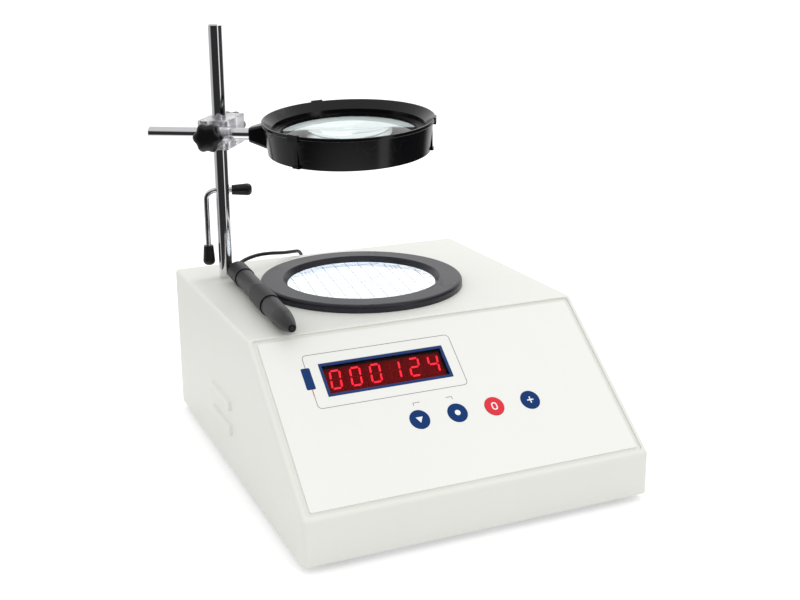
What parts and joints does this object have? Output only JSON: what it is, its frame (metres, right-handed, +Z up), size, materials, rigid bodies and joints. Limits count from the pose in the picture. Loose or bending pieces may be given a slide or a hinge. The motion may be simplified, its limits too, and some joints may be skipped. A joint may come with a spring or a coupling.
{
  "type": "colony counter",
  "caption": "Bench colony counter: sloped housing with a lit dish ring, digit display and round keys, a magnifier on a clamped post, and a corded marker pen.",
  "frame": {"origin": "middle of the footprint of everything but the pen's cord, on the table", "axes": "+X to the right seen from the front, +Y to the back, +Z up"},
  "size_m": [0.2732, 0.3734, 0.3146],
  "materials": {
    "base_steel": "plain zinc grey",
    "bezel_blue": "gloss, blue",
    "board_green": "circuit board",
    "cap_rubber": "satin black",
    "chromed": "polished",
    "clear_plastic": "clear, polished",
    "cord_sheath": "satin black",
    "core": "varnished laminations and cans",
    "dark_plastic": "matt black",
    "digit_plastic": "matt with lit segments",
    "foot_rubber": "matt black",
    "gloss_black": "gloss black",
    "grid_glass": "clear with a printed grid",
    "housing_paint": "satin powder coat, off-white",
    "key_blue": "satin, blue",
    "key_red": "satin, red",
    "lamp": "white lamp chips",
    "lens_glass": "clear, faint green",
    "opal": "opal, lit from below",
    "overlay_film": "matt printed film",
    "pen_shell": "satin, charcoal",
    "pin_brass": "nickel plated",
    "rear_paint": "satin powder coat, off-white",
    "ring_black": "satin, near black",
    "screw_steel": "zinc plated",
    "sleeve": "clear, thin",
    "standoff_brass": "turned brass",
    "tray_white": "white inside",
    "window_red": "clear dark red"
  },
  "bodies": {
    "base": {"housing_cover": "housing_paint", "base_plate": "base_steel", "feet": "foot_rubber", "foot_screws": "screw_steel", "rear_panel": "rear_paint", "panel_screws": "screw_steel", "power_inlet": "gloss_black", "inlet_pins": "pin_brass", "rocker_frame": "gloss_black", "fuse_holder": "gloss_black", "pen_socket": "screw_steel", "pen_plug": "dark_plastic", "panel_overlay": "overlay_film", "display_bezel": "bezel_blue", "display_window": "window_red", "panel_board": "board_green", "digit_modules": "digit_plastic", "key_switches": "dark_plastic", "board_standoffs": "standoff_brass", "board_screws": "screw_steel", "dish_ring": "ring_black", "grid_glass": "grid_glass", "diffuser": "opal", "glass_retainer": "dark_plastic", "light_tray": "tray_white", "lamp_board": "tray_white", "lamps": "lamp", "power_board": "board_green", "power_parts": "core", "power_spacers": "standoff_brass", "post": "chromed", "post_washer": "screw_steel", "post_nut": "screw_steel", "pen_rear_cap": "pen_shell", "pen_barrel": "pen_shell", "pen_collar": "pen_shell", "pen_nose": "pen_shell", "pen_cord_coil": "cord_sheath", "pen_cord_lead": "cord_sheath", "pen_cord_tail": "cord_sheath"},
    "clamp_liner": {"post_sleeve": "sleeve"},
    "clamp": {"clamp_block": "clear_plastic"},
    "rod_liner": {"rod_sleeve": "sleeve"},
    "arm": {"cross_rod": "chromed", "lens_holder": "gloss_black", "lens": "lens_glass", "lens_retainer": "gloss_black"},
    "rod_clamp_knob": {"rod_knob": "gloss_black", "rod_stud": "chromed"},
    "post_clamp_knob": {"post_knob": "gloss_black", "post_stud": "chromed"},
    "hanger": {"hanger_rod": "chromed", "hanger_low_cap": "cap_rubber", "hanger_side_cap": "cap_rubber"},
    "down_key": {"key_down": "key_blue"},
    "mark_key": {"key_mark": "key_blue"},
    "clear_key": {"key_clear": "key_red"},
    "add_key": {"key_add": "key_blue"},
    "power_rocker": {"rocker": "dark_plastic"},
    "marker_tip": {"pen_tip": "dark_plastic"}
  },
  "joints": [
    {"name": "clamp_height", "type": "slide", "parent": "base", "child": "clamp_liner", "axis": [0, 0, 1], "range_m": [-0.02, 0.05]},
    {"name": "clamp_swivel", "type": "hinge", "parent": "clamp_liner", "child": "clamp", "pos_m": [-0.08387, 0.10765, 0.2346], "axis": [0, 0, 1], "continuous": true},
    {"name": "arm_tilt", "type": "hinge", "parent": "clamp", "child": "rod_liner", "pos_m": [-0.09176, 0.09549, 0.2346], "axis": [0.8387, -0.5446, 0], "range_deg": [-90, 90]},
    {"name": "arm_reach", "type": "slide", "parent": "rod_liner", "child": "arm", "axis": [0.8387, -0.5446, 0], "range_m": [-0.01, 0.035]},
    {"name": "rod_knob_turn", "type": "hinge", "parent": "clamp", "child": "rod_clamp_knob", "pos_m": [-0.09569, 0.08504, 0.2346], "axis": [-0.5446, -0.8387, 0], "range_deg": [0, 360]},
    {"name": "post_knob_turn", "type": "hinge", "parent": "clamp", "child": "post_clamp_knob", "pos_m": [-0.07243, 0.12526, 0.2346], "axis": [0.5446, 0.8387, 0], "range_deg": [0, 360]},
    {"name": "hanger_turn", "type": "hinge", "parent": "base", "child": "hanger", "pos_m": [-0.08387, 0.10765, 0.1882], "axis": [0.9593, -0.2823, 0], "range_deg": [-90, 90]},
    {"name": "key_down_press", "type": "slide", "parent": "base", "child": "down_key", "axis": [0, 0.6224, -0.7827], "range_m": [0, 0.0004], "stiffness_N_per_m": 600, "springref_m": -0.001},
    {"name": "key_mark_press", "type": "slide", "parent": "base", "child": "mark_key", "axis": [0, 0.6224, -0.7827], "range_m": [0, 0.0004], "stiffness_N_per_m": 600, "springref_m": -0.001},
    {"name": "key_clear_press", "type": "slide", "parent": "base", "child": "clear_key", "axis": [0, 0.6224, -0.7827], "range_m": [0, 0.0004], "stiffness_N_per_m": 600, "springref_m": -0.001},
    {"name": "key_add_press", "type": "slide", "parent": "base", "child": "add_key", "axis": [0, 0.6224, -0.7827], "range_m": [0, 0.0004], "stiffness_N_per_m": 600, "springref_m": -0.001},
    {"name": "power_switch", "type": "hinge", "parent": "base", "child": "power_rocker", "pos_m": [0.03963, 0.14155, 0.042], "axis": [-1, 0, 0], "range_deg": [-16, 0]},
    {"name": "marker_tip_press", "type": "slide", "parent": "base", "child": "marker_tip", "axis": [0.053, 0.9986, 0], "range_m": [0, 0.0015], "stiffness_N_per_m": 200, "springref_m": -0.002}
  ]
}
